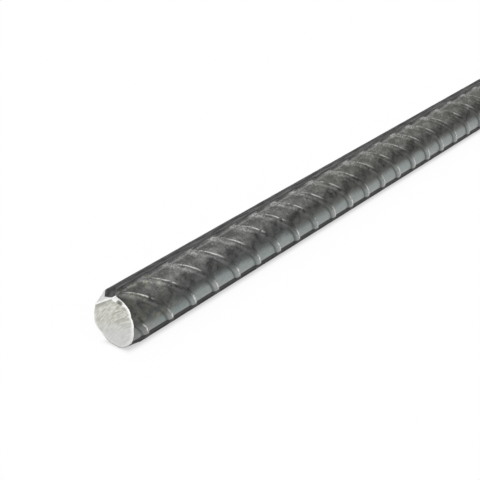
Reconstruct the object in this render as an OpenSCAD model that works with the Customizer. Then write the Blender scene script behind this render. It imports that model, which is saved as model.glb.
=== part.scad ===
// Reinforcing bar: one cut length of hot rolled deformed steel bar.
// It lies along X on a level floor, with Z up and the origin on the floor under its middle.
// Two long ribs part its section into halves. The slanting cross ribs on each half are fine relief
// and are left off, so the round of a half is the mean of those ribs and the hollows between them.

/* [Bar] */
// Nominal diameter, that of a plain round bar of the same weight
bar_d = 16; // [10:1:25]
// Distance that the round of each half is set out from the axis, as cross ribs are highest midway
half_offset = 0.35; // [0.2:0.05:0.6]
// Length of the cut piece
bar_length = 500; // [300:10:1000]

/* [Long ribs] */
// Width of the flat crest of each of the two long ribs
rib_crest_w = 2; // [1.2:0.1:3]
// Height of the crest over the nominal round
rib_height = 0.4; // [0.2:0.05:0.8]
// Slope of a rib's flanks, measured from its crest
rib_flank_angle = 40; // [35:1:60]
// Radius on the two edges of the crest
rib_edge_r = 0.2; // [0.1:0.05:0.4]
// Radius of the fillet where a flank runs into the round
rib_fillet_r = 2.5; // [1.5:0.1:3]

/* [Cropped end] */
// Distance that the bevel left by the shear runs back along the bar
bevel_length = 2.6; // [1:0.1:5]
// Distance that the bevel reaches in from the nominal round
bevel_depth = 2; // [1:0.1:4]
// Place of the bevel around the bar, turned from straight up
bevel_turn = 33; // [0:1:180]

/* [Hidden] */
$fn = 96;

bar_r = bar_d / 2;
round_r = bar_r - half_offset;
round_centre = [half_offset, 0];
crest_z = bar_r + rib_height;

// A rib is drawn pointing up, so that its right flank runs out and down from the crest's edge.
flank_along = [cos(rib_flank_angle), -sin(rib_flank_angle)];
flank_out = [sin(rib_flank_angle), cos(rib_flank_angle)];
crest_edge = [rib_crest_w / 2, crest_z];
flank_rise = (crest_edge - round_centre) * flank_out;

// Centre of the round on the crest's edge, and where that round leaves the crest and the flank
edge_centre = [crest_edge.x - rib_edge_r * tan(rib_flank_angle / 2), crest_z - rib_edge_r];
edge_on_crest = edge_centre + [0, rib_edge_r];
edge_on_flank = edge_centre + rib_edge_r * flank_out;

// Foot of the flank, the point of its line that is nearest to the centre of the round
flank_foot = round_centre + flank_rise * flank_out;

// The fillet's centre is one fillet radius off the flank and off the round, less a small bite, so
// that the fillet crosses them both and doesn't only graze them.
fillet_bite = 0.005;
fillet_off = rib_fillet_r - fillet_bite;
fillet_rise = flank_rise + fillet_off;
fillet_run = sqrt(pow(round_r + fillet_off, 2) - fillet_rise * fillet_rise);
fillet_centre = round_centre + fillet_rise * flank_out - fillet_run * flank_along;
fillet_inside = fillet_centre - 2 * rib_fillet_r * flank_out;

// The bar lies on one crest edge and on the round beside it, so the ribs lean until both touch the
// floor. The line from the round's centre to the edge's centre gives the angle.
edge_line = edge_centre - round_centre;
rib_lean = atan2(edge_line.x, edge_line.y) + acos((round_r - rib_edge_r) / norm(edge_line));
axis_z = round_r + half_offset * sin(rib_lean);

bevel_slope = bevel_depth / bevel_length;
bevel_margin = 2;

module rib_half() {
    polygon([[0, 0], flank_foot, edge_on_flank, edge_on_crest, [0, crest_z]]);
    translate(edge_centre) circle(r = rib_edge_r);
    difference() {
        polygon([round_centre, fillet_centre, fillet_inside]);
        translate(fillet_centre) circle(r = rib_fillet_r);
    }
}

// Right half of the section, with its round and its half of both ribs
module section_half() {
    translate(round_centre) circle(r = round_r);
    rib_half();
    mirror([0, 1]) rib_half();
}

module bar_section() {
    section_half();
    mirror([1, 0]) section_half();
}

// Wedge taken off the end, drawn with the bar's end at x = 0 and the bevel's side up
module bevel_wedge() {
    wedge_run = bevel_length + bevel_margin;
    rotate([90, 0, 0])
        linear_extrude(2 * bar_d, center = true)
            polygon([
                [-bevel_margin, bar_r - bevel_depth - bevel_margin * bevel_slope],
                [wedge_run, bar_r + bevel_margin * bevel_slope],
                [-bevel_margin, bar_r + bevel_margin * bevel_slope]
            ]);
}

module reinforcing_bar() {
    color("dimgray")
        translate([0, 0, axis_z])
            difference() {
                rotate([90, 0, 90])
                    linear_extrude(bar_length, center = true)
                        rotate(-rib_lean) bar_section();
                translate([-bar_length / 2, 0, 0])
                    rotate([-bevel_turn, 0, 0]) bevel_wedge();
            }
}

reinforcing_bar();
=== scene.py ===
# %% [markdown]
# # A cut length of reinforcing bar
# This lesson dresses one solid from CAD: a hot rolled steel bar with two long ribs, slanting cross
# ribs, dark mill scale and a bright sheared end. The CAD solid has the section, the length and the
# bevelled end. The cross ribs are fine relief, so they are worked out here.

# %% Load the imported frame
import math

import bpy
import numpy as np
from mathutils import Matrix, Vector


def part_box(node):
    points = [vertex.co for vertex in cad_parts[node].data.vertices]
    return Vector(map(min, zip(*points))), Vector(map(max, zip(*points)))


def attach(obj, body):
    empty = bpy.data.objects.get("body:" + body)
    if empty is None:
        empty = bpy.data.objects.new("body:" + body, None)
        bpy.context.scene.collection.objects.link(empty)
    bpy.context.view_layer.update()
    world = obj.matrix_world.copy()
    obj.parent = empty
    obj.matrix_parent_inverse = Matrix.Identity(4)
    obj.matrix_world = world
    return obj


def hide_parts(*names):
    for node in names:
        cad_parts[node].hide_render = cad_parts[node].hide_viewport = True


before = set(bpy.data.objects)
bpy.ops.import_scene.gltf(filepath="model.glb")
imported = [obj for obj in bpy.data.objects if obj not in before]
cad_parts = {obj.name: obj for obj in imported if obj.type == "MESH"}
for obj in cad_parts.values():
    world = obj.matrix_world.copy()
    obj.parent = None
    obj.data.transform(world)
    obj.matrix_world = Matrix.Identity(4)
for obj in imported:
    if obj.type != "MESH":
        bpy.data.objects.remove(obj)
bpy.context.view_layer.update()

# %% [markdown]
# ## Where the bar is
# The bar lies along X, and its axis runs through the middle of the CAD box. All sizes below are in
# millimetres, as a mill drawing gives them, and become metres when the mesh is made. A place on the
# bar is told by the distance from the cropped end and by the turn around the axis, counted from the
# upper long rib towards the side that faces the camera.

# %% Bar frame
MM = 0.001
low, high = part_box("reinforcing_bar")
BAR_LENGTH = (high.x - low.x) / MM
AXIS_HEIGHT = 0.5 * (low.z + high.z) / MM
# Lean of the long ribs from upright, in degrees, as the bar lies on the floor
RIB_LEAN = 29.04
print(f"bar {BAR_LENGTH:.1f} mm long, axis {AXIS_HEIGHT:.2f} mm over the floor")


def place(x, r, turn):
    """Point of the bar in metres. x is the distance from the cropped end, r the distance from the
    axis, and turn the degrees from the upper long rib. The angle from straight up is the lean less
    the turn, and its sine and cosine times r give y and z."""
    a = np.radians(RIB_LEAN - turn)
    y = r * np.sin(a)
    z = AXIS_HEIGHT + r * np.cos(a)
    return np.stack([low.x / MM + x, y, z], axis=-1) * MM


def across(r, turn):
    """Coordinates in the section: how far towards the camera's side, and how far up from the axis."""
    a = np.radians(RIB_LEAN - turn)
    return -r * np.sin(a), r * np.cos(a)


# %% [markdown]
# ## The rolled section
# A bar is rolled between two grooved rolls. Where the rolls part, steel stands out as a long rib on
# each side: a crest on a shelf that is lower and a little wider. It could be drawn as an outline and
# extruded. Here the height of each is a smooth step of the distance from the middle of the rib, so
# that it can be added to the cross ribs. The step is a hyperbolic tangent, which rounds the edge and
# the foot alike.

# %% Long ribs
# Half widths in degrees, everything else in mm
CORE_R = 7.65
CREST_HALF = 19.8
CREST_RISE = 0.5
CREST_SOFT = 0.2
SHELF_HALF = 29.5
SHELF_RISE = 0.24
SHELF_SOFT = 0.4


def from_long_rib(turn):
    """Degrees to the nearer of the two long ribs: 0 on a rib, 90 midway between them."""
    return 90.0 - np.abs((turn % 180.0) - 90.0)


def smooth_step(turn, half, soft):
    """1 within half degrees of a long rib and 0 beyond: half of 1 less the hyperbolic tangent of the
    distance past that border, in units of soft mm."""
    beyond = np.radians(from_long_rib(turn) - half) * CORE_R
    return 0.5 - 0.5 * np.tanh(beyond / soft)


def long_rib(turn):
    """Height of a long rib: its crest on top of a shelf that is a little wider."""
    crest = smooth_step(turn, CREST_HALF, CREST_SOFT)
    shelf = smooth_step(turn, SHELF_HALF, SHELF_SOFT)
    return CREST_RISE * crest + SHELF_RISE * shelf


print(f"a long rib stands {long_rib(0.0):.2f} mm over the core")

# %% [markdown]
# ## The slant of the cross ribs
# Each roll has slanting notches, which leave ribs at an even pitch. Seen on the surface rolled out
# flat, a rib runs down and away from the cropped end, a little steeper at its ends. The other half
# is the mirror image, set off by half a pitch. The shift along the bar by turn is a curve, and the
# mesh follows it: its columns lie along the ribs, so that a crest is never cut into steps.

# %% Slant of the ribs
# Lengths along the bar in mm, and in degrees where a half starts and stops
PITCH = 10.0
FIRST_RIB = 1.3
SLANT_RUN = 14.2
SLANT_BOW = 1.35
SLANT_SWAY = 0.2
STAGGER = 5.0
HALF_FROM = 30.0
HALF_TO = 150.0
LAND_WIDTH = 60.0


def half_slant(turn):
    """Shift along the bar over one half: a straight run, half a sine wave that bows it, and a whole
    sine wave that makes its ends steeper."""
    t = (turn - HALF_FROM) / (HALF_TO - HALF_FROM)
    return SLANT_RUN * t + SLANT_BOW * np.sin(np.pi * t) - SLANT_SWAY * np.sin(2 * np.pi * t)


def slant(turn):
    """Shift all the way round: the near half, the lower long rib, the mirrored far half, the upper
    long rib. Over a long rib the shift runs evenly from that of one half to that of the other."""
    turn = turn % 360.0
    near = half_slant(np.clip(turn, HALF_FROM, HALF_TO))
    far = half_slant(np.clip(360.0 - turn, HALF_FROM, HALF_TO)) + STAGGER
    under = np.clip((turn - HALF_TO) / LAND_WIDTH, 0.0, 1.0)
    over = (turn + HALF_FROM) % 360.0 / LAND_WIDTH
    return np.where(
        (turn > HALF_FROM) & (turn < 360.0 - HALF_FROM),
        near + (far - near) * under,
        far + (near - far) * over,
    )


print(f"a rib shifts {half_slant(HALF_TO):.1f} mm along the bar over one half")

# %% [markdown]
# ## The height of the cross ribs
# A rib has a flat crest. Its flank towards the cropped end is long and soft on the upper side of the
# bar and short below, and the rib gets wider where it runs out at a long rib. The notches of a roll
# wear unevenly, so each rib has its own height and width, drawn from a seeded source of numbers.

# %% Height of the ribs
# Sizes in mm, and in degrees from a long rib where the rib flares and its long flank gets short
RIB_RISE = 0.74
RIB_BEFORE = 1.4
RIB_BEYOND = 0.4
RIB_MIDDLE = -0.4
RIB_R = 8.0
FLANK_SOFT = 0.28
FLANK_LONG = 0.48
LONG_TO = 60.0
SHORT_FROM = 100.0
FLARE = 0.4
FLARE_AT = 26.0
FLARE_WIDE = 8.0
RIBS_DRAWN = 128
varied = np.random.default_rng(16)
rib_height = varied.uniform(0.92, 1.04, (2, RIBS_DRAWN))
rib_width = varied.uniform(0.88, 1.12, (2, RIBS_DRAWN))


def bell(value, middle, width):
    """Bell curve: e to the power of minus the square of the distance from the middle over the width."""
    return np.exp(-(((value - middle) / width) ** 2))


def grade(value, start, stop):
    """0 up to start, 1 from stop on, and a straight line between them."""
    return np.clip((value - start) / (stop - start), 0.0, 1.0)


def half_turn(angle):
    """The same angle between -180 and 180 degrees."""
    return (angle + 180.0) % 360.0 - 180.0


def rib_profile(x, turn):
    """Distance from the nearest rib's crest, and the rib's height there from 0 to 1. The distance is
    taken at right angles to the rib and is below zero towards the cropped end. The height is a smooth
    step up times a smooth step down, with a flat crest between them."""
    skewed = x - slant(turn) - FIRST_RIB
    number = np.round((skewed - RIB_MIDDLE) / PITCH).astype(int)
    lean = (slant(turn + 0.5) - slant(turn - 0.5)) / np.radians(1.0) / RIB_R
    gap = (skewed - number * PITCH) / np.sqrt(1.0 + lean**2)
    side = (turn % 360.0 > 180.0).astype(int)
    wide = rib_width[side, number % RIBS_DRAWN]
    flare = FLARE * bell(from_long_rib(turn), FLARE_AT, FLARE_WIDE)
    lower = grade(np.abs(half_turn(turn)), LONG_TO, SHORT_FROM)
    soft = FLANK_LONG + (FLANK_SOFT - FLANK_LONG) * lower
    up = 0.5 + 0.5 * np.tanh((gap + RIB_BEFORE * wide + flare) / soft)
    down = 0.5 - 0.5 * np.tanh((gap - RIB_BEYOND - flare) / FLANK_SOFT)
    return gap, up * down * rib_height[side, number % RIBS_DRAWN]


print(f"ribs stand {RIB_RISE * rib_height.min():.2f} to {RIB_RISE * rib_height.max():.2f} mm high")

# %% [markdown]
# ## The pressed edge
# A shear squeezes a bar before it parts it. Beside the cut the ribs are flattened and the edge is
# drawn in, most of all on the near side, with a notch and a bulge in it. There is a burr on the far
# side. One could sculpt this by hand. Here the edge's radius is a round with bell curves for its
# dents, and the bar takes on that radius as it comes close to the cut.

# %% Pressed edge
PRESSED_R = 7.5
# Rise of each bulge or dent in mm, its angle in the section and its width in degrees
PRESSED_DENTS = (
    (-0.95, 6.0, 42.0),
    (0.5, -75.0, 32.0),
    (-0.33, 24.0, 5.5),
    (0.12, 38.0, 7.0),
    (-0.4, 168.0, 12.0),
    (0.4, -156.0, 13.0),
)
# How far the edge is pressed along the bar, and where around it that is more or less
PRESSED_REACH = 1.5
REACH_CHANGES = ((3.0, -85.0, 20.0), (-0.8, -48.0, 14.0))
# Angles where the press stops before the bevel and starts again beyond it
BEFORE_BEVEL = (96.0, 86.0)
BEYOND_BEVEL = (115.0, 130.0)


def section_angle(turn):
    """Angle in the section: 0 points to the camera's side and 90 straight up."""
    return half_turn(90.0 + RIB_LEAN - turn)


def bells(angle, table):
    """Sum of bell curves around the bar, each by its rise, the angle of its middle and its width."""
    return sum(rise * bell(half_turn(angle - middle), 0.0, width) for rise, middle, width in table)


def pinch(x, turn):
    """Share of the pressed radius: 1 at the cut, falling off along the bar as a bell curve. The curve
    is long at the lower edge and short beside it. At the bevel nothing is pressed."""
    angle = section_angle(turn)
    beside_bevel = grade(angle, *BEFORE_BEVEL) + grade(angle, *BEYOND_BEVEL)
    reach = PRESSED_REACH + bells(angle, REACH_CHANGES)
    return beside_bevel * bell(np.maximum(x, 0.0), 0.0, reach)


def pinched_radius(turn):
    """Radius of the pressed edge: a round, a bell curve for each bulge or dent, and two fine waves."""
    angle = section_angle(turn)
    waves = 0.06 * np.sin(np.radians(9.0 * angle)) + 0.04 * np.sin(np.radians(17.0 * angle + 40.0))
    return PRESSED_R + bells(angle, PRESSED_DENTS) + waves


edge_r = pinched_radius(np.arange(360.0))
print(f"the pressed edge is {edge_r.min():.2f} to {edge_r.max():.2f} mm from the axis")

# %% [markdown]
# ## The whole surface
# The long ribs, the cross ribs and the pressed edge join into one radius, so that the bar is one
# skin without seams. Slow waves of a hundredth of a millimetre keep it from looking turned.

# %% Radius of the rolled surface
RIB_ENDS = 18.0
RIB_FULL = 24.0
# Height of each slow wave, its rate along the bar, how often it runs round it, and its start
SKIN_WAVES = ((0.012, 0.9, 3, 0.0), (0.01, 0.53, -5, 1.0), (0.008, 1.7, 9, 2.0))


def radius(x, turn):
    """Radius of the rolled surface. Long ribs and cross ribs join as a + b - ab, which is smooth and
    leaves no step where a cross rib runs out into a long rib. Slow sine waves make the skin uneven.
    The pressed edge takes its share at the end."""
    land = long_rib(turn)
    _, rib = rib_profile(x, turn)
    rib = rib * grade(from_long_rib(turn), RIB_ENDS, RIB_FULL)
    full = CORE_R + land + RIB_RISE * rib - land * rib
    for height, along, around, begin in SKIN_WAVES:
        full = full + height * np.sin(along * x + around * np.radians(turn) + begin)
    return full - (full - pinched_radius(turn)) * pinch(x, turn)


crest_r = radius(np.array([0.5 * BAR_LENGTH]), np.array([0.0]))[0]
print(f"crest of the long rib {crest_r:.2f} mm from the axis")

# %% [markdown]
# ## The cut ends
# A shear cropped the near end. It left a face with curved drag lines, a bevel on the side where the
# blade came in, a rounded bright edge along the near side and a small pit. The face is a height over
# the flat of the section, so the same function shapes the cap and trims the rolled surface. The far
# end is a plain square cut.

# %% Cropped end
# Angles and places in the section, how far out a form starts and stops, and depths in mm
BEVEL_ANGLE = math.radians(123.0)
BEVEL_FROM = 6.0
BEVEL_SLOPE = 1.3
BEVEL_SOFT = 0.2
LIP_BACK = 0.34
LIP_FROM = 0.9
LIP_LOWER_END = (-70.0, -40.0)
LIP_UPPER_END = (108.0, 100.0)
FLAP_BACK = 0.5
FLAP_ANGLE = 105.0
FLAP_WIDTH = 7.0
FLAP_OUT = (6.4, 8.4)
ARC_CENTRE = (11.8, -12.3)
ARC_STEP = 1.9
ARC_DEPTH = 0.03
ARC_OUT = (7.2, 6.2)
PIT_CENTRE = (2.05, 6.2)
PIT_SIZE = (0.65, 0.5)
PIT_DEPTH = 0.3


def ramp(t, soft):
    """0 below zero and t above it, rounded over the width soft."""
    return 0.5 * (t + np.sqrt(t * t + soft * soft)) - 0.25 * soft * np.exp(-np.abs(t) / soft)


def towards_bevel(n, u):
    """How far a place in the section lies from the axis in the direction of the bevel."""
    return n * math.cos(BEVEL_ANGLE) + u * math.sin(BEVEL_ANGLE)


def cropped_end(r, turn, share):
    """How far the cropped face lies back from the flat cut, where share is the part of the way out to
    the edge: a ramp for the bevel, squares for the lip and for the flap dragged over beside the
    bevel, a sine wave across the blade's arcs, and a bell for the pit."""
    n, u = across(r, turn)
    angle = np.degrees(np.arctan2(u, n))
    back = ramp(BEVEL_SLOPE * (towards_bevel(n, u) - BEVEL_FROM), BEVEL_SOFT)
    near_side = grade(angle, *LIP_LOWER_END) * grade(angle, *LIP_UPPER_END)
    back = back + LIP_BACK * near_side * grade(share, LIP_FROM, 1.0) ** 2
    back = back + FLAP_BACK * bell(angle, FLAP_ANGLE, FLAP_WIDTH) * grade(r, *FLAP_OUT) ** 2
    arc = np.hypot(n - ARC_CENTRE[0], u - ARC_CENTRE[1])
    back = back + ARC_DEPTH * np.sin(2 * np.pi * arc / ARC_STEP) * grade(r, *ARC_OUT)
    pit = bell(n, PIT_CENTRE[0], PIT_SIZE[0]) * bell(u, PIT_CENTRE[1], PIT_SIZE[1])
    return back + PIT_DEPTH * pit


# %% Square end
ROUNDED_BACK = 0.3
ROUNDED_FROM = 0.92
SAW_DEPTH = 0.025
SAW_STEP = 1.7


def square_end(r, turn, share):
    """How far the far face lies back: a square cut with a small rounded edge and faint saw waves."""
    n, u = across(r, turn)
    back = ROUNDED_BACK * grade(share, ROUNDED_FROM, 1.0) ** 2
    return back + SAW_DEPTH * (1.0 + np.sin(2 * np.pi * (0.8 * n + 0.6 * u) / SAW_STEP))


bevel_back = cropped_end(np.array([8.0]), np.array([RIB_LEAN - 33.0]), 1.0)[0]
print(f"the bevel runs {bevel_back:.1f} mm back along the bar")

# %% [markdown]
# ## The rows and columns of the mesh
# Rows go along the bar, closer together on the flanks of the long ribs. Columns go round it, closer
# together on the flanks of the cross ribs, and each is shifted by the slant. A finer even grid would
# also do, but it would need many more triangles for the same sharp ribs.

# %% Rows and columns
# From a long rib to midway: its crest, its two flanks in steps of a degree, and the rest
quarter = np.concatenate([np.full(4, 4.25), np.full(14, 1.0), np.full(16, 59.0 / 16)])
widths = np.tile(np.concatenate([quarter, quarter[::-1]]), 2)
turns = np.concatenate([[0.0], np.cumsum(widths)[:-1]])
steps = np.array([-3.2, -2.5, -2.1, -1.75, -1.4, -0.9, -0.3, 0.1, 0.35, 0.65, 0.95, 1.4, 2.3])
ribs = np.arange(-3, int(BAR_LENGTH / PITCH) + 2)
columns = (FIRST_RIB + ribs[:, None] * PITCH + steps[None, :]).ravel()
print(len(turns), "rows and", len(columns), "columns")

# %% [markdown]
# ## Where the rows meet the cuts
# The cropped face isn't flat, and the ribs make the radius change along each row. So the place where
# a row runs into a cut has no plain formula. It is found by halving a range again and again, for all
# rows at once.

# %% Ends of the rows
HALVINGS = 40


def crossing(beyond, lower, upper):
    """Place on each row where beyond turns true, found by halving the range between lower and upper."""
    lower = np.full(len(turns), lower)
    upper = np.full(len(turns), upper)
    for _ in range(HALVINGS):
        middle = 0.5 * (lower + upper)
        upper, lower = np.where(beyond(middle), (middle, lower), (upper, middle))
    return upper


def past_cropped_end(x):
    """True where a row at x has come out of the cropped face."""
    return x > cropped_end(radius(x, turns), turns, 1.0)


def past_square_end(x):
    """True where a row at x has run into the far face."""
    return x > BAR_LENGTH - square_end(radius(x, turns), turns, 1.0)


start = crossing(past_cropped_end, -1.0, 8.0)
stop = crossing(past_square_end, BAR_LENGTH - 2.0, BAR_LENGTH + 1.0)
print(f"rows start {start.min():.2f} to {start.max():.2f} mm from the cropped end's flat")

# %% [markdown]
# ## The rolled surface
# What sticks out past a cut is pulled back onto it, and so is a point that lies very close to it. The
# points also carry marks, by which the finish later finds the crests and the feet of the ribs, their
# height, the way to the nearer long rib, and the edge of a cut.

# %% Rolled surface
NEAR_CUT = 0.05
CREST_AT = 0.1
FOOT_AT = -1.75
FOOT_WIDE = 0.28
MARKS = ("crest", "foot", "rib", "beside", "edge")
turn_grid = np.repeat(turns[:, None], len(columns), axis=1)
x_grid = columns[None, :] + slant(turn_grid)
x_grid = np.where(x_grid < start[:, None] + NEAR_CUT, start[:, None], x_grid)
x_grid = np.where(x_grid > stop[:, None] - NEAR_CUT, stop[:, None], x_grid)
r_grid = radius(x_grid, turn_grid)
gap_grid, rib_grid = rib_profile(x_grid, turn_grid)
shell = place(x_grid, r_grid, turn_grid).reshape(-1, 3)
crest_grid = np.abs(gap_grid - CREST_AT)
foot_grid = bell(gap_grid, FOOT_AT, FOOT_WIDE)
mark_grids = [crest_grid, foot_grid, rib_grid, from_long_rib(turn_grid), np.ones_like(x_grid)]
shell_marks = np.stack(mark_grids, axis=-1).reshape(-1, len(MARKS))


def grid_triangles(rows, cols):
    """Two triangles for each cell of a grid whose last row joins its first."""
    i = np.arange(rows)[:, None]
    j = np.arange(cols - 1)[None, :]
    a = i * cols + j
    b = (i + 1) % rows * cols + j
    lower = np.stack([a, a + 1, b + 1], axis=-1)
    upper = np.stack([a, b + 1, b], axis=-1)
    return np.concatenate([lower.reshape(-1, 3), upper.reshape(-1, 3)])


shell_faces = grid_triangles(len(turns), len(columns))
print(len(shell_faces), "triangles before the points at the cuts are merged")

# %% [markdown]
# ## The caps
# Each end is closed by rings that shrink to one point, closest together at the edge, where the lip
# and the bevel bend the face. The outer ring lies on the last points of the rows.

# %% Caps on both ends
inwards = [0.0, 0.03, 0.06, 0.1, 0.15, 0.2, 0.26, 0.33, 0.4, 0.48, 0.57, 0.67, 0.78, 0.89]
shares = 1.0 - np.array(inwards)


def cap(x_edge, r_edge, face, flip):
    """Points and triangles of a cap: rings at the given shares of the edge's radius, each as far back
    as face says, and a fan to one point in the middle. flip is for the far end."""
    share = shares[None, :]
    turn = np.repeat(turns[:, None], len(shares), axis=1)
    r = r_edge[:, None] * share
    back = face(r, turn, share)
    middle_back = face(np.zeros(1), np.zeros(1), np.zeros(1))
    x = BAR_LENGTH - back if flip else back
    middle_x = BAR_LENGTH - middle_back if flip else middle_back
    x[:, 0] = x_edge
    rings = place(x, r, turn).reshape(-1, 3)
    middle = place(middle_x, np.zeros(1), np.zeros(1))
    rims = np.arange(len(turns)) * len(shares) + len(shares) - 1
    fan = np.stack([rims, np.full(len(turns), len(rings)), np.roll(rims, -1)], axis=-1)
    faces = np.concatenate([grid_triangles(len(turns), len(shares)), fan])
    return np.concatenate([rings, middle]), faces if flip else faces[:, ::-1]


near_points, near_faces = cap(x_grid[:, 0], r_grid[:, 0], cropped_end, False)
far_points, far_faces = cap(x_grid[:, -1], r_grid[:, -1], square_end, True)
print(len(near_faces) + len(far_faces), "triangles on the two caps")

# %% [markdown]
# ## One closed skin
# The shell and the caps are put together, and points that fall on the same place become one, so that
# the bar is closed. Triangles that lose a corner by this are dropped. The volume tells whether the
# faces point outwards: if it comes out below zero, they are all turned round.

# %% Merge the parts
SAME_PLACE = 5
points = np.concatenate([shell, near_points, far_points])
far_first = len(shell) + len(near_points)
faces = np.concatenate([shell_faces, near_faces + len(shell), far_faces + far_first])
cap_count = len(near_faces) + len(far_faces)
is_cap = np.concatenate([np.zeros(len(shell_faces), int), np.ones(cap_count, int)])
cap_marks = np.zeros((len(near_points) + len(far_points), len(MARKS)))
cap_marks[:, MARKS.index("edge")] = np.tile(np.append(np.tile(shares, len(turns)), 0.0), 2)
marks = np.concatenate([shell_marks, cap_marks])
rounded = np.round(points / MM, SAME_PLACE)
_, first_of, same = np.unique(rounded, axis=0, return_index=True, return_inverse=True)
points, marks, faces = points[first_of], marks[first_of], same.ravel()[faces]
whole = (faces != np.roll(faces, 1, axis=1)).all(axis=1)
faces, is_cap = faces[whole], is_cap[whole]
corners = points[faces]
normals = np.cross(corners[:, 1], corners[:, 2])
volume = np.einsum("ij,ij->i", corners[:, 0], normals).sum() / 6.0
if volume < 0:
    faces = faces[:, ::-1]
print(len(points), "points,", len(faces), "triangles,", round(abs(volume) * 1e6, 2), "cm3")

# %% [markdown]
# ## Into Blender
# Whole arrays go into the mesh by foreach_set, which is far quicker than one vertex at a time. The
# faces are smooth, and the edges around the two cuts are marked as sharp, because a shear leaves a
# crisp edge between the scale and the bare steel.

# %% Put it into Blender
mesh = bpy.data.meshes.new("ribbed_bar")
mesh.vertices.add(len(points))
mesh.vertices.foreach_set("co", points.astype(np.float32).ravel())
mesh.loops.add(3 * len(faces))
mesh.loops.foreach_set("vertex_index", faces.astype(np.int32).ravel())
mesh.polygons.add(len(faces))
mesh.polygons.foreach_set("loop_start", np.arange(0, 3 * len(faces), 3, dtype=np.int32))
mesh.polygons.foreach_set("material_index", is_cap.astype(np.int32))
mesh.update(calc_edges=True)
mesh.validate()
mesh.polygons.foreach_set("use_smooth", np.ones(len(mesh.polygons), dtype=bool))
for column, name in enumerate(MARKS):
    layer = mesh.attributes.new(name, "FLOAT", "POINT")
    layer.data.foreach_set("value", marks[:, column].astype(np.float32))
print(len(mesh.polygons), "faces in Blender, with the marks", ", ".join(MARKS))

# %% Sharp edges and what the bar stands for
on_cap = np.zeros(len(points), bool)
on_cap[faces[is_cap == 1].ravel()] = True
on_shell = np.zeros(len(points), bool)
on_shell[faces[is_cap == 0].ravel()] = True
edge_ends = np.zeros(2 * len(mesh.edges), dtype=np.int32)
mesh.edges.foreach_get("vertices", edge_ends)
rim = (on_cap & on_shell)[edge_ends].reshape(-1, 2).all(axis=1)
sharp = mesh.attributes.new("sharp_edge", "BOOLEAN", "EDGE")
sharp.data.foreach_set("value", rim)
ribbed_bar = bpy.data.objects.new("ribbed_bar", mesh)
bpy.context.scene.collection.objects.link(ribbed_bar)
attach(ribbed_bar, "root")
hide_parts("reinforcing_bar")
print(int(rim.sum()), "sharp edges around the two cuts")

# %% [markdown]
# ## Writing shaders as sums
# A finish is easier to read as an expression than as a list of links. The class below wraps a node's
# output, so that a + b or 1 - a adds a Math node. The other class makes every other node by its type,
# its settings and its inputs, and has short words for those that come back often.

# %% Amounts that change over a surface


class Amount:
    """A number that changes over a surface, as a socket of a node tree."""

    def __init__(self, finish, socket):
        self.finish = finish
        self.socket = socket

    def __add__(self, other):
        return self.finish.calc("ADD", self, other)

    __radd__ = __add__

    def __mul__(self, other):
        return self.finish.calc("MULTIPLY", self, other)

    __rmul__ = __mul__

    def __sub__(self, other):
        return self.finish.calc("SUBTRACT", self, other)

    def __rsub__(self, other):
        return self.finish.calc("SUBTRACT", other, self)


# %% Finishes
BUMP_DISTANCE = 0.0001


class Finish:
    """A node tree with one method for any node, and short words for the nodes that come back often."""

    def __init__(self, owner):
        owner.use_nodes = True
        self.tree = owner.node_tree
        self.tree.nodes.clear()

    def node(self, kind, settings=None, inputs=None, output=0):
        """Adds a node: settings first, then inputs by name or number, which are values or Amounts."""
        made = self.tree.nodes.new(kind)
        for name, value in (settings or {}).items():
            setattr(made, name, value)
        for name, value in (inputs or {}).items():
            if isinstance(value, Amount):
                self.tree.links.new(value.socket, made.inputs[name])
            else:
                made.inputs[name].default_value = value
        return Amount(self, made.outputs[output]) if made.outputs else None

    def calc(self, operation, first, second=0.0):
        """The result of a Math node on two numbers."""
        return self.node("ShaderNodeMath", {"operation": operation}, {0: first, 1: second})

    def step(self, value, start, stop):
        """0 at start, 1 at stop, smooth between them."""
        settings = {"interpolation_type": "SMOOTHSTEP"}
        inputs = {"Value": value, "From Min": start, "From Max": stop}
        return self.node("ShaderNodeMapRange", settings, inputs)

    def band(self, value, start, full, still_full, stop):
        """1 between full and still_full, falling smoothly to 0 at start and at stop."""
        return self.step(value, start, full) * self.step(value, stop, still_full)

    def mix(self, share, first, second):
        """Colour between first at share 0 and second at share 1."""
        inputs = {0: share, 6: first, 7: second}
        return self.node("ShaderNodeMix", {"data_type": "RGBA"}, inputs, 2)

    def noise(self, where, scale, detail, roughness):
        """Noise around a half, with scale spots to the metre."""
        inputs = {"Vector": where, "Scale": scale, "Detail": detail, "Roughness": roughness}
        return self.node("ShaderNodeTexNoise", None, inputs)

    def mark(self, name):
        """A number that the mesh carries at its points."""
        return self.node("ShaderNodeAttribute", {"attribute_name": name}, None, 2)

    def spot(self):
        """The place on the object, in metres."""
        return self.node("ShaderNodeTexCoord", None, None, 3)

    def axis(self, where, number):
        """One coordinate of a place: 0 for x, 1 for y and 2 for z."""
        return self.node("ShaderNodeSeparateXYZ", None, {0: where}, number)

    def vector(self, operation, first, second, output=0):
        """The result of a Vector Math node. Output 1 is for those that give a number."""
        settings = {"operation": operation}
        return self.node("ShaderNodeVectorMath", settings, {0: first, 1: second}, output)

    def surface(self, colour, roughness, metallic, height, strength):
        """Ends the finish: a bump by the height, the shader and the output."""
        bump = {"Strength": strength, "Distance": BUMP_DISTANCE, "Height": height}
        look = {"Base Color": colour, "Roughness": roughness, "Metallic": metallic}
        look["Normal"] = self.node("ShaderNodeBump", None, bump)
        skin = self.node("ShaderNodeBsdfPrincipled", None, look)
        self.node("ShaderNodeOutputMaterial", None, {"Surface": skin})
        print(len(self.tree.nodes), "nodes in the whole finish")


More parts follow.
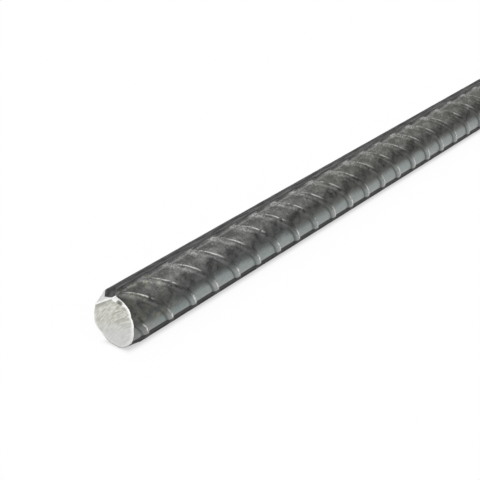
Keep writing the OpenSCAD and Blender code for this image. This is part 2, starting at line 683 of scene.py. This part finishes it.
# %% [markdown]
# ## Mill scale: where a spot is
# Hot rolled steel comes off the mill with a thin dark skin of iron oxide. A painted picture could
# show it, but here each zone is told by where a spot is: how high over the bar's axis, how far from
# the cropped end, and how far from the nearer long rib. Four noises, from fine grain to wide clouds,
# make the borders of the zones uneven.

# %% Places on the bar
scale_material = bpy.data.materials.new("mill_scale")
scale = Finish(scale_material)
spot = scale.spot()
spot_x = scale.axis(spot, 0)
over = (scale.axis(spot, 2) - AXIS_HEIGHT * MM) * (1.0 / MM)
crest = scale.mark("crest")
foot = scale.mark("foot")
rib = scale.mark("rib")
grain = scale.noise(spot, 3200.0, 3.0, 0.6)
speck = scale.noise(spot, 1500.0, 4.0, 0.65)
blotch = scale.noise(spot, 420.0, 4.0, 0.6)
cloud = scale.noise(spot, 75.0, 2.0, 0.5)


def from_cut(start, stop):
    """0 at start millimetres from the cropped end, 1 at stop, smooth between them."""
    return scale.step(spot_x, low.x + start * MM, low.x + stop * MM)


at_cut = from_cut(4.0, 0.5)
beside_cut = from_cut(10.0, 6.0)
further = from_cut(40.0, 120.0)
print(len(scale.tree.nodes), "nodes tell where a spot is")

# %% [markdown]
# ## Mill scale: the dull long ribs
# The rolls never press the long ribs, so a thick dull scale stays on them. On the rib near the floor
# it reaches further out, more so on the cross ribs and less so right at the cut.

# %% Dull scale
below = scale.step(over, 0.0, -2.0)
beside = scale.mark("beside") - (5.0 + 3.0 * rib - 8.0 * at_cut) * below
dull = scale.step(beside, 30.5, 26.5)
print(len(scale.tree.nodes), "nodes with the dull long ribs")

# %% [markdown]
# ## Mill scale: where it is worn off, and painted highlights
# Handling rubs the scale off the crests of the cross ribs, down to bare steel. On the upper side this
# leaves a bright line, frayed towards the long rib, and low on the side a few bright dots; both are
# also painted highlight, placed by height where the crests catch the light. The wide ends of the ribs
# are rubbed a little too, and the edge of the shelf gets a faint painted highlight.

# %% Worn steel and painted highlights
# The crest line and the low dots are partly wear and partly painted highlight, kept by height to where
# the crests catch the light.
line = scale.step(crest + 0.3 * (blotch - 0.5) + 0.9 * (speck - 0.5), 0.58, 0.3)
line = line * scale.step(blotch + 0.3 * (speck - 0.5), 0.36, 0.5) * scale.step(beside, 31.0, 35.0)
frayed = scale.step(over, 6.9, 7.5) * scale.step(grain + 0.8 * (speck - 0.5), 0.58, 0.46)
upper_line = scale.step(over, 4.6, 6.3) * (0.25 + 0.75 * scale.step(over, 8.15, 7.85))
upper_line = upper_line * (0.9 - 0.25 * further) * (1.0 - 0.8 * frayed)
lower_dots = scale.step(over - 1.4 * further, 1.6, -0.8) * scale.step(speck, 0.4, 0.56)
lower_dots = lower_dots * (1.0 - beside_cut * scale.step(speck, 0.5, 0.42))
line = line * (upper_line + 0.85 * lower_dots)
flare = scale.step(beside, 58.0, 42.0) * scale.step(rib, 0.5, 0.95) * scale.step(grain, 0.46, 0.6)
# Painted highlight on the edge of the shelf.
shelf_edge_highlight = scale.band(beside, 28.0, 31.0, 33.0, 37.5)
shelf_edge_highlight = shelf_edge_highlight * scale.step(speck + 0.6 * (blotch - 0.5), 0.3, 0.6)
rim_fade_by_cut = 1.0 - 0.75 * from_cut(16.0, 10.0)
wear_and_highlight = line + (flare * 0.42 + shelf_edge_highlight * 0.06) * (1.0 - below) * rim_fade_by_cut
wear_and_highlight = wear_and_highlight * (1.0 - dull)
print(len(scale.tree.nodes), "nodes with the worn steel")

# %% [markdown]
# ## Mill scale: its colours
# The oxide is grey on the shoulder, and painted shade makes it darker on top and on the flank. Low on
# the sides it is thick and bluish, with greenish stains and with reddish ribs. Rust has begun by the
# cropped end, which turns it olive there, and a little of that shows further along too.

# %% Zones of the oxide
# Shoulder, top and flank are lit and painted-shade copies of one oxide, chosen by height over the axis.
LIT_SHOULDER = (0.195, 0.195, 0.192, 1)
SHADED_TOP = (0.114, 0.114, 0.112, 1)
SHADED_FLANK = (0.1, 0.108, 0.106, 1)
BLUISH = (0.24, 0.27, 0.264, 1)
STAIN = (0.125, 0.172, 0.162, 1)
REDDISH = (0.32, 0.295, 0.292, 1)
BY_THE_CUT = (0.235, 0.23, 0.229, 1)
FURTHER_ALONG = (0.128, 0.13, 0.108, 1)
OLIVE = (0.17, 0.17, 0.115, 1)
border = over + 4.5 * (cloud - 0.5) + 2.0 * (blotch - 0.5)
low_down = scale.step(border - 1.6 * further, 1.3, -1.3) * (1.0 - 0.5 * from_cut(9.0, 3.0))
stained = low_down * (1.0 - further) * scale.step(cloud + 0.9 * (blotch - 0.5), 0.42, 0.56)
rusty = from_cut(24.0, 4.0) * scale.step(blotch, 0.48, 0.58)
oxide = scale.mix(scale.step(over, 6.5, 7.4), LIT_SHOULDER, SHADED_TOP)
oxide = scale.mix(scale.step(over + 2.0 * (cloud - 0.5), 3.6, 2.4), oxide, SHADED_FLANK)
oxide = scale.mix(low_down, oxide, BLUISH)
oxide = scale.mix(stained * 0.5, oxide, STAIN)
oxide = scale.mix(low_down * rib * scale.step(blotch, 0.45, 0.6) * 0.6, oxide, REDDISH)
oxide = scale.mix(low_down * beside_cut * 0.85, oxide, BY_THE_CUT)
oxide = scale.mix(further * (1.0 - low_down) * 0.62, oxide, FURTHER_ALONG)
oxide = scale.mix(rusty * (1.0 - low_down) * 0.8, oxide, OLIVE)
print(len(scale.tree.nodes), "nodes with the zones")

# %% [markdown]
# ## Mill scale: mottled and dark places
# Scale flakes and grows again while the bar cools, so it is mottled, with fine painted glints above.
# Midway down, the flank is painted nearly black in places as a painted reflection of the dark room,
# and the edges right beside the cut are darkened with painted shade.

# %% Mottled and dark places
PALE = (0.36, 0.36, 0.35, 1)
DARK = (0.09, 0.09, 0.087, 1)
# Fine pale specks on the upper side are painted glints.
PAINTED_GLINT = (0.46, 0.46, 0.45, 1)
SHADE = (0.055, 0.056, 0.05, 1)
# Painted reflection of the dark room on the flank, with darker painted blotches in it.
PAINTED_DARK_REFLECTION = (0.035, 0.037, 0.035, 1)
DARK_REFLECTION_BLOTCH = (0.012, 0.013, 0.01, 1)
mottle = 0.5 * speck + 0.5 * blotch
calm = 0.42 + 0.58 * scale.step(over, 3.0, 6.0)
painted_glints = scale.step(grain, 0.56, 0.66) * scale.step(blotch, 0.42, 0.6) * scale.step(over, 4.2, 5.6)
upper_border = over + 2.4 * (blotch - 0.5) + 2.0 * (cloud - 0.5) + 1.0 * (speck - 0.5)
dark_reflection_zone = scale.step(upper_border, 6.0, 5.1) * scale.step(border - 0.8 * further, 0.8, 2.6)
oxide = scale.mix(scale.step(mottle, 0.48, 0.64) * 0.6 * calm, oxide, PALE)
oxide = scale.mix(scale.step(mottle, 0.52, 0.36) * 0.6 * calm, oxide, DARK)
oxide = scale.mix(painted_glints * 0.5, oxide, PAINTED_GLINT)
# Painted shade on the rolled surface right beside the cut.
oxide = scale.mix(at_cut * scale.step(over, -0.5, 1.5) * 0.8, oxide, SHADE)
oxide = scale.mix(dark_reflection_zone * (0.46 + 0.15 * rib), oxide, PAINTED_DARK_REFLECTION)
oxide = scale.mix(dark_reflection_zone * scale.step(blotch, 0.52, 0.4) * 0.35, oxide, DARK_REFLECTION_BLOTCH)
# More painted shade beside the cut, high on the side.
oxide = scale.mix(beside_cut * scale.band(over, 5.0, 6.4, 7.2, 7.8) * 0.45, oxide, SHADE)
print(len(scale.tree.nodes), "nodes with the mottling")

# %% [markdown]
# ## Mill scale: lines along the ribs
# Painted shade lies at the foot of each cross rib as a dark line. The edge of the shelf is a paler line
# of painted highlight. On the long ribs the dull scale is streaked along the bar, with a painted
# highlight on the crest's edge and painted shade in the crease below it.

# %% Lines along the ribs
RIM_HIGHLIGHT = (0.17, 0.17, 0.167, 1)
FOOT_SHADE = (0.045, 0.047, 0.046, 1)
DULL = (0.04, 0.04, 0.039, 1)
# Pale streaks in the dull scale, also used for the painted highlight on the crest's edge.
PALE_STREAK_AND_HIGHLIGHT = (0.12, 0.12, 0.119, 1)
DARK_STREAK = (0.01, 0.01, 0.01, 1)
CREASE_SHADE = (0.022, 0.022, 0.022, 1)
DULL_BELOW = (0.015, 0.015, 0.015, 1)
# Paler line on the shelf's edge: painted highlight.
rim_band = scale.band(beside, 28.8, 31.8, 32.5, 36.5) * (1.0 - below)
rim_highlight_share = rim_band * rim_fade_by_cut * (0.55 + 0.3 * scale.step(speck, 0.4, 0.6))
# Dark line at the foot of each cross rib: painted shade.
foot_shade_share = foot * (0.85 - 0.1 * dark_reflection_zone - 0.7 * scale.step(over, 4.5, 6.5))
streak = scale.noise(scale.vector("MULTIPLY", spot, (0.12, 1.0, 1.0)), 1400.0, 3.0, 0.6)
# Pale line on the crest's edge of the long rib: painted highlight.
crest_edge_highlight = scale.band(beside, 17.8, 19.6, 20.2, 22.0) * (1.0 - below)
oxide = scale.mix(rim_highlight_share, oxide, RIM_HIGHLIGHT)
oxide = scale.mix(foot_shade_share, oxide, FOOT_SHADE)
oxide = scale.mix(dull, oxide, DULL)
oxide = scale.mix(dull * scale.step(streak, 0.46, 0.62) * 0.7, oxide, PALE_STREAK_AND_HIGHLIGHT)
oxide = scale.mix(dull * scale.step(streak, 0.5, 0.38) * 0.9, oxide, DARK_STREAK)
oxide = scale.mix(crest_edge_highlight * 0.5, oxide, PALE_STREAK_AND_HIGHLIGHT)
# Dark crease below the crest: painted shade.
oxide = scale.mix(scale.band(beside, 19.8, 21.8, 26.0, 30.0) * 0.3, oxide, CREASE_SHADE)
oxide = scale.mix(dull * below, oxide, DULL_BELOW)
print(len(scale.tree.nodes), "nodes with the lines")

# %% [markdown]
# ## Mill scale: put together
# Bare steel shows where the scale is worn, and the same pale steel is painted as highlights on the
# upper crests and the shelf's edge. Smooth scale mirrors like a dark metal, while the dull scale of
# the long ribs is rough and hardly metal at all. The noises also make a fine bump.

# %% Mill scale on the rolled surface
BARE_STEEL_AND_HIGHLIGHT = (0.88, 0.875, 0.86, 1)
colour = scale.mix(wear_and_highlight, oxide, BARE_STEEL_AND_HIGHLIGHT)
rough = 0.33 + 0.4 * (blotch - 0.5) + 0.25 * (speck - 0.5) + 0.4 * dull
metal = 0.88 - 0.85 * dull - (0.5 * rim_band + 0.35 * dark_reflection_zone) * (1.0 - dull)
scale.surface(colour, rough, metal, 0.5 * grain + 0.8 * speck + 0.8 * blotch, 0.5)

# %% [markdown]
# ## Sheared steel: the drag lines
# The cut shows bare steel, drawn out by the blade in curved lines. They are noise that changes fast
# across the blade's arcs and slowly along them, stronger towards the near side. Low on the face the
# steel is smoother and of one grey, and a soft cloud keeps all of it uneven.

# %% Drag lines on the cuts
DRAG_DARK = (0.42, 0.42, 0.365, 1)
DRAG_PALE = (0.73, 0.73, 0.68, 1)
LOWER_FACE = (0.645, 0.645, 0.65, 1)
CLOUDED = (0.42, 0.42, 0.38, 1)
sheared_material = bpy.data.materials.new("sheared_steel")
sheared = Finish(sheared_material)
spot = sheared.spot()
cut_y = sheared.axis(spot, 1)
cut_z = sheared.axis(spot, 2)
nearness = (0.0 - cut_y) * (1.0 / MM)
height = (cut_z - AXIS_HEIGHT * MM) * (1.0 / MM)
fine = sheared.noise(spot, 1500.0, 4.0, 0.6)
soft_cloud = sheared.noise(spot, 260.0, 3.0, 0.55)
centre = (0.0, -ARC_CENTRE[0] * MM, (AXIS_HEIGHT + ARC_CENTRE[1]) * MM)
flat = sheared.node("ShaderNodeCombineXYZ", None, {0: 0.0, 1: cut_y, 2: cut_z})
arc = sheared.vector("DISTANCE", flat, centre, 1)
drag_place = sheared.node("ShaderNodeCombineXYZ", None, {0: arc, 1: cut_y * 0.2, 2: cut_z * 0.2})
drag = sheared.noise(drag_place, 1900.0, 5.0, 0.66)
lined = 0.5 + (0.6 + 0.5 * sheared.step(nearness, -3.0, 2.5)) * (drag - 0.5)
steel = sheared.mix(sheared.step(lined, 0.38, 0.62), DRAG_DARK, DRAG_PALE)
steel = sheared.mix(sheared.step(height - 0.4 * nearness, 1.5, -4.5) * 0.75, steel, LOWER_FACE)
steel = sheared.mix(sheared.step(soft_cloud, 0.52, 0.36) * 0.3, steel, CLOUDED)
print(len(sheared.tree.nodes), "nodes with the drag lines")

# %% [markdown]
# ## Sheared steel: the burnished places
# The blade slid along the bevel, along its inner edge and over the rounded lip of the near side, and
# burnished them nearly white. A patch near the top of the face is burnished too. Under the bevel the
# face is a little darker with painted shadow. The far end has none of this, so the marks are kept to
# the near cut.

# %% Burnished bevel and lip
BURNISHED = (0.82, 0.82, 0.81, 1)
BEVEL_RIM = (0.98, 0.98, 0.97, 1)
BRIGHT_PATCH = (0.95, 0.95, 0.94, 1)
SHADOW_UNDER_BEVEL = (0.30, 0.30, 0.28, 1)
edge = sheared.mark("edge")
near_cut = sheared.step(sheared.axis(spot, 0), 0.0, low.x * 0.5)
bevel_w = towards_bevel(nearness, height)
bevel = sheared.step(bevel_w, BEVEL_FROM - 0.35, BEVEL_FROM - 0.1) * near_cut
lip = sheared.step(edge + 0.28 * (soft_cloud - 0.5) + 0.16 * (fine - 0.5), 0.89, 0.955)
lip = lip * (0.2 + 0.5 * sheared.step(0.6 * nearness + 0.8 * height, 0.5, 5.5))
patch_n = (nearness - 0.5) * 0.8
patch_u = (height - 6.7) * 1.1
patch = patch_n * patch_n + patch_u * patch_u + 1.2 * (soft_cloud - 0.5)
patch = sheared.step(patch, 1.1, 0.4) * near_cut * 0.8
burnished = sheared.calc("MAXIMUM", sheared.calc("MAXIMUM", bevel, lip), patch)
bevel_rim = sheared.step(bevel_w + 0.3 * (fine - 0.5), BEVEL_FROM + 0.3, BEVEL_FROM + 0.1)
# Painted shadow on the face under the bevel.
under = sheared.step(bevel_w, BEVEL_FROM - 1.5, BEVEL_FROM - 0.7) * (1.0 - bevel)
under = under * sheared.step(nearness, -2.2, -3.2) * near_cut
steel = sheared.mix(burnished, steel, BURNISHED)
steel = sheared.mix(bevel * bevel_rim, steel, BEVEL_RIM)
steel = sheared.mix(patch * 0.4, steel, BRIGHT_PATCH)
steel = sheared.mix(under * 0.6, steel, SHADOW_UNDER_BEVEL)
print(len(sheared.tree.nodes), "nodes with the burnished places")

# %% [markdown]
# ## Sheared steel: the dark places
# A flap of the long rib's scale was drawn down over the edge beside the bevel. It has a torn border
# and two tones. Below it lies a dark pit, and the lowest edge of the cut has a dark line of painted
# contact shadow.

# %% Smeared scale, pit and lower edge
LOWER_EDGE_SHADOW = (0.2, 0.2, 0.2, 1)
PIT = (0.14, 0.14, 0.125, 1)
SMEAR_DARK = (0.035, 0.035, 0.035, 1)
SMEAR_PALE = (0.1, 0.1, 0.1, 1)
torn = 0.7 * (soft_cloud - 0.5)
# Painted contact shadow along the lowest edge of the cut.
lower_edge_shadow = sheared.step(edge + 0.06 * (soft_cloud - 0.5), 0.95, 0.985)
lower_edge_shadow = lower_edge_shadow * sheared.step(height, -5.6, -7.0) * near_cut
slope = sheared.calc("MAXIMUM", nearness + 0.5, 0.0)
smear = sheared.step(nearness + 1.71 * (height - 5.5) + torn, -4.6, -4.3)
smear_end = height - 0.41 * (nearness + 3.8) - 0.35 * slope + 0.5 * torn
smear = smear * sheared.step(smear_end, 5.4, 5.6)
smeared = smear * near_cut
smear_tone = sheared.step(soft_cloud + 0.5 * (fine - 0.5), 0.4, 0.62)
pit_n = (nearness - 2.15 + 0.9 * (fine - 0.5)) * 0.74
pit_u = (height - 6.15 + 0.9 * (fine - 0.5)) * 1.25
pit = sheared.step(pit_n * pit_n + pit_u * pit_u, 1.0, 0.2) * near_cut
steel = sheared.mix(lower_edge_shadow * 0.6, steel, LOWER_EDGE_SHADOW)
steel = sheared.mix(pit * 0.82, steel, PIT)
steel = sheared.mix(smeared, steel, sheared.mix(smear_tone, SMEAR_DARK, SMEAR_PALE))
print(len(sheared.tree.nodes), "nodes with the dark places")

# %% [markdown]
# ## Sheared steel: put together
# Burnished steel scatters light from its many fine scratches, so it is set less metal than the rest
# of the face and looks white from all sides. The smeared scale is dull.

# %% Sheared steel on the cuts
steel_rough = 0.5 + 0.14 * (fine - 0.5) - 0.12 * burnished + 0.15 * smeared
steel_metal = 0.75 - 0.55 * burnished * (1.0 - smear) - 0.6 * smeared
sheared.surface(steel, steel_rough, steel_metal, drag + 0.4 * fine, 0.45)
mesh.materials.append(scale_material)
mesh.materials.append(sheared_material)

# %% [markdown]
# ## Floor
# The floor is plain and white. To the camera, and to the steel that mirrors it, it glows at a strength
# of 1, which is white. It shows its own shading only close to the bar, so that the bar throws a faint
# shadow that fades within a few millimetres. It lies as low as the ribs of the dressed bar reach.

# %% Floor
FLOOR_SIZE = 8.0
floor_level = float(points[:, 2].min())
corner_x = FLOOR_SIZE * np.array([-1.0, 1.0, 1.0, -1.0])
corner_y = FLOOR_SIZE * np.array([-1.0, -1.0, 1.0, 1.0])
floor_points = np.stack([corner_x, corner_y, np.full(4, floor_level)], axis=-1)
floor_mesh = bpy.data.meshes.new("floor")
floor_mesh.from_pydata(floor_points.tolist(), [], [(0, 1, 2, 3)])
floor = bpy.data.objects.new("floor", floor_mesh)
bpy.context.scene.collection.objects.link(floor)
print(f"floor at {floor_level / MM:.2f} mm")

# %% White floor
SHADOW_SIDE = 3.0 * MM
SHADOW_END = high.x - 1.5 * MM
SHADOW_FADES = 3.0 * MM
IS_CAMERA_RAY = 0
IS_GLOSSY_RAY = 3
IS_TRANSMISSION_RAY = 6
floor_material = bpy.data.materials.new("white_floor")
paper = Finish(floor_material)
seen = paper.node("ShaderNodeLightPath", None, None, IS_CAMERA_RAY)
mirrored = paper.node("ShaderNodeLightPath", None, None, IS_GLOSSY_RAY)
through = paper.node("ShaderNodeLightPath", None, None, IS_TRANSMISSION_RAY)
share = paper.calc("MAXIMUM", paper.calc("MAXIMUM", seen, mirrored), through)
ground = paper.spot()
aside = paper.calc("ABSOLUTE", paper.axis(ground, 1)) - SHADOW_SIDE
past_end = paper.calc("ABSOLUTE", paper.axis(ground, 0)) - SHADOW_END
away = paper.calc("MAXIMUM", aside, past_end)
cover = 0.5 + 0.45 * paper.step(away, 0.0, SHADOW_FADES)
matt = paper.node("ShaderNodeBsdfDiffuse", None, {"Color": (0.92, 0.92, 0.92, 1)})
glow = paper.node("ShaderNodeEmission", None, {"Color": (1, 1, 1, 1), "Strength": 1.0})
blend = paper.node("ShaderNodeMixShader", None, {0: cover * share, 1: matt, 2: glow})
paper.node("ShaderNodeOutputMaterial", None, {"Surface": blend})
floor_mesh.materials.append(floor_material)
print(len(paper.tree.nodes), "nodes in the floor")

# %% [markdown]
# ## Light
# A small object like this is often lit in a light tent. Lamps could do it, but the steel mirrors what
# is around it, so the tent itself is made as the world: a dim dome, a wide soft box beyond the far
# end, and a stronger one on the left, which draws the bright edges of the ribs. Each box fades out
# with the angle from its middle.

# %% Light
DIM_DOME = 0.08
FAR_BOX = 0.8
LEFT_BOX = 2.28
world = bpy.data.worlds.new("light_tent")
bpy.context.scene.world = world
tent = Finish(world)
ray = tent.spot()


def glowing(strength):
    """White light of the given strength."""
    return tent.node("ShaderNodeBackground", None, {"Color": (1, 1, 1, 1), "Strength": strength})


def with_box(dome, middle, start, stop, strength):
    """The dome with a soft box in it. The cosine of the angle between a ray and the box's middle goes
    from start, where the dome is left alone, to stop, where the box is full."""
    middle = tuple(np.array(middle) / np.linalg.norm(middle))
    share = tent.step(tent.vector("DOT_PRODUCT", ray, middle, 1), start, stop)
    return tent.node("ShaderNodeMixShader", None, {0: share, 1: dome, 2: glowing(strength)})


dome = with_box(glowing(DIM_DOME), (0.55, 0.22, 0.8), 0.52, 0.9, FAR_BOX)
dome = with_box(dome, (-0.55, -0.5, 0.67), 0.5, 0.9, LEFT_BOX)
tent.node("ShaderNodeOutputWorld", None, {"Surface": dome})
print(len(tent.tree.nodes), "nodes in the light tent")

# %% [markdown]
# ## Camera
# The camera looks down on the cropped end with the bar running away to the right. Its place and lens
# follow from the two edges of the bar in the picture, which meet far away, and from the bar's size.

# %% Camera
CAMERA_PLACE = np.array([-447.2, -194.2, 171.6]) * MM
LOOKS_ALONG = np.array([0.706, 0.5445, -0.4534])
TO_THE_RIGHT = np.array([0.6103, -0.7918, 0.0])
right = TO_THE_RIGHT / np.linalg.norm(TO_THE_RIGHT)
back = right * np.dot(right, LOOKS_ALONG) - LOOKS_ALONG
back = back / np.linalg.norm(back)
camera_data = bpy.data.cameras.new("camera")
camera_data.sensor_width = 36.0
camera_data.lens = 90.0
camera_data.clip_start = 0.01
camera_data.clip_end = 20.0
camera = bpy.data.objects.new("camera", camera_data)
stand = np.eye(4)
stand[:3, :] = np.stack([right, np.cross(back, right), back, CAMERA_PLACE], axis=-1)
camera.matrix_world = Matrix(stand.tolist())
bpy.context.scene.collection.objects.link(camera)
bpy.context.scene.camera = camera
bpy.context.scene.view_settings.view_transform = "Standard"
print(f"camera {CAMERA_PLACE[2] / MM:.0f} mm over the floor of the CAD solid")
